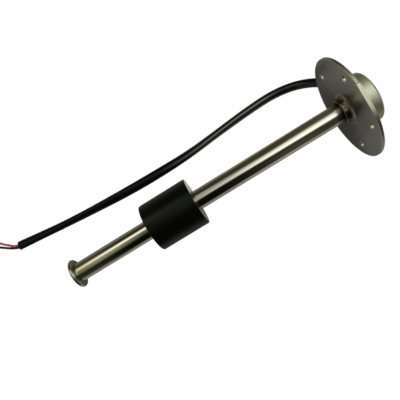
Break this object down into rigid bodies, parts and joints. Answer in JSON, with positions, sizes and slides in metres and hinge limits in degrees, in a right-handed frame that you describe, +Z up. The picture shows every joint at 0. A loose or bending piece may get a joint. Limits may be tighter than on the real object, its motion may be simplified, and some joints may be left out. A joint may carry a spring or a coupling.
{
  "type": "tank level sender",
  "caption": "Tank level sender: round bolted flange with a drawn head cup, a polished stem tube with an end stop, a black float that slides on the stem, and a signal cable.",
  "frame": {"origin": "centre of the flange's sealing face, on the stem's axis", "axes": "+Z up out of the tank along the stem's axis, -Y through the flat on the flange's rim"},
  "size_m": [0.0944, 0.0898, 0.3066],
  "materials": {
    "satin_steel": "satin blasted stainless",
    "polished_steel": "polished stainless",
    "weld_steel": "heat tinted weld",
    "float_rubber": "matte moulded nitrile foam",
    "magnet_ferrite": "plain ferrite",
    "grommet_rubber": "matte rubber",
    "resin": "cast epoxy",
    "sleeve_plastic": "thin plastic liner",
    "board_laminate": "glass laminate",
    "reed_glass": "clear green glass",
    "chip_ceramic": "ceramic chip",
    "cable_jacket": "semi-matte jacket",
    "pink_insulation": "thin insulation",
    "black_insulation": "thin insulation",
    "tinned_copper": "tinned strands"
  },
  "bodies": {
    "sender": {"mounting_flange": "satin_steel", "head_cup": "satin_steel", "cup_weld": "weld_steel", "stem_tube": "polished_steel", "stem_weld": "weld_steel", "end_stop": "polished_steel", "stop_weld": "polished_steel", "cable_grommet": "grommet_rubber", "head_potting": "resin", "lead_bush": "grommet_rubber", "insulating_sleeve": "sleeve_plastic", "reed_board": "board_laminate", "board_foot": "grommet_rubber", "inner_lead_pink": "pink_insulation", "inner_lead_black": "black_insulation", "signal_cable": "cable_jacket", "lead_pink": "pink_insulation", "lead_black": "black_insulation", "pink_tinned_end": "tinned_copper", "black_tinned_end": "tinned_copper", "reed_switch_1": "reed_glass", "reed_switch_2": "reed_glass", "reed_switch_3": "reed_glass", "reed_switch_4": "reed_glass", "reed_switch_5": "reed_glass", "reed_switch_6": "reed_glass", "reed_switch_7": "reed_glass", "reed_switch_8": "reed_glass", "ladder_resistor_1": "chip_ceramic", "ladder_resistor_2": "chip_ceramic", "ladder_resistor_3": "chip_ceramic", "ladder_resistor_4": "chip_ceramic", "ladder_resistor_5": "chip_ceramic", "ladder_resistor_6": "chip_ceramic", "ladder_resistor_7": "chip_ceramic", "ladder_resistor_8": "chip_ceramic"},
    "float": {"float_body": "float_rubber", "float_magnet": "magnet_ferrite"}
  },
  "joints": [
    {"name": "float_slide", "type": "slide", "parent": "sender", "child": "float", "axis": [0, 0, 1], "range_m": [-0.0567, 0.1062]}
  ]
}
